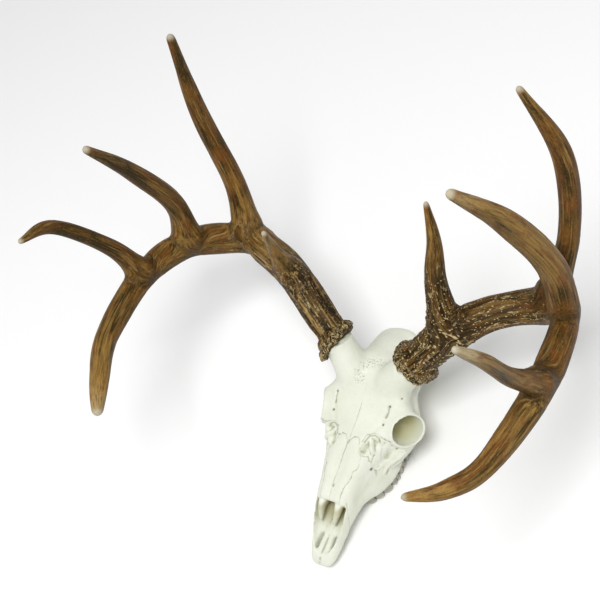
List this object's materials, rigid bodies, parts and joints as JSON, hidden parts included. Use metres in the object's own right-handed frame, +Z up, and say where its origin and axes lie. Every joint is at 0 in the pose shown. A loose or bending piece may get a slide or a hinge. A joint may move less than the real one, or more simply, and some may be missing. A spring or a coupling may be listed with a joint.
{
  "type": "deer skull",
  "caption": "White-tailed deer skull with branching antlers and no lower jaw, lying on its cheek teeth; a still, life-size display model.",
  "frame": {"origin": "middle of the footprint of the whole object's box, on the floor that its teeth rest on", "axes": "+X to the deer's left, +Y from the muzzle back to the nape, +Z up"},
  "size_m": [0.5792, 0.4174, 0.4816],
  "materials": {
    "bone": "matt dry bone, off-white with a faint greenish cream tint, duller and greyer in its hollows",
    "antler": "satin grooved antler, dark brown in the grooves, tan on the ridges and pale ivory at the tips"
  },
  "bodies": {
    "root": {"nasal_left": "bone", "nasal_right": "bone", "premaxilla_left": "bone", "premaxilla_right": "bone", "maxilla_left": "bone", "maxilla_right": "bone", "cheekbone_left": "bone", "cheekbone_right": "bone", "frontal_left": "bone", "frontal_right": "bone", "braincase": "bone", "occipital": "bone", "antler_left_base": "antler", "antler_left_lower_beam": "antler", "antler_left_middle_beam": "antler", "antler_left_upper_beam": "antler", "antler_left_beam_end": "antler", "antler_left_brow_tine": "antler", "antler_left_second_tine": "antler", "antler_left_third_tine": "antler", "antler_left_fourth_tine": "antler", "antler_right_base": "antler", "antler_right_lower_beam": "antler", "antler_right_middle_beam": "antler", "antler_right_upper_beam": "antler", "antler_right_beam_end": "antler", "antler_right_brow_tine": "antler", "antler_right_second_tine": "antler", "antler_right_third_tine": "antler", "antler_right_fourth_tine": "antler"}
  },
  "joints": []
}
